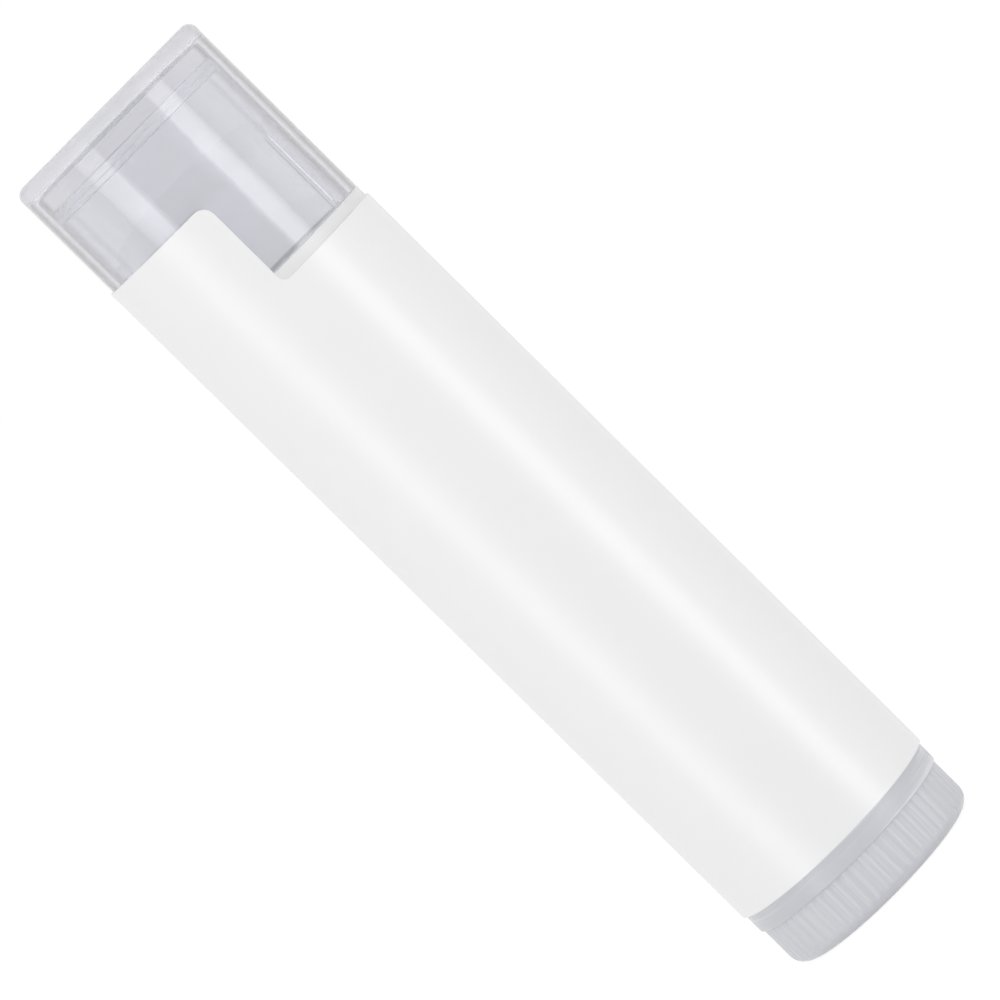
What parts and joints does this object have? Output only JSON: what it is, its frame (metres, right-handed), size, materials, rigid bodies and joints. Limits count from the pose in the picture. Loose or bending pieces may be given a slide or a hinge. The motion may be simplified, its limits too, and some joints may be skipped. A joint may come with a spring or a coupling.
{
  "type": "lip balm stick",
  "caption": "Twist-up lip balm stick: clear barrel and pull-off cap, ribbed turning knob with screw spindle, elevator cup, balm, and a blank white wrap label with a raised seal tab.",
  "frame": {"origin": "centre of the knob's base, the face that the stick stands on", "axes": "+Z along the tube towards the cap; the front, where the label's step shows, faces -Y; the label's tall half is on the -X side"},
  "size_m": [0.0162, 0.0162, 0.0709],
  "materials": {
    "clear_plastic": "clear moulded plastic, glossy",
    "white_plastic": "natural white moulded plastic, satin",
    "balm": "poured off-white wax balm, soft sheen",
    "label": "blank white satin label"
  },
  "bodies": {
    "barrel": {"barrel": "clear_plastic", "barrel_label": "label"},
    "knob": {"knob_spindle": "clear_plastic"},
    "elevator": {"elevator_cup": "white_plastic", "balm_stick": "balm"},
    "cap": {"cap": "clear_plastic", "cap_seal_tab": "label"}
  },
  "joints": [
    {"name": "knob_turn", "type": "hinge", "parent": "barrel", "child": "knob", "pos_m": [0, 0, 0.0017], "axis": [0, 0, 1], "range_deg": [0, 4680]},
    {"name": "balm_rise", "type": "slide", "parent": "barrel", "child": "elevator", "axis": [0, 0, 1], "range_m": [0, 0.0416]},
    {"name": "cap_pull", "type": "slide", "parent": "elevator", "child": "cap", "axis": [0, 0, 1], "range_m": [0, 0.02]}
  ],
  "couplings": [
    {"joint": "knob_turn", "follows": "balm_rise", "rad_per_m": 1963.5}
  ]
}
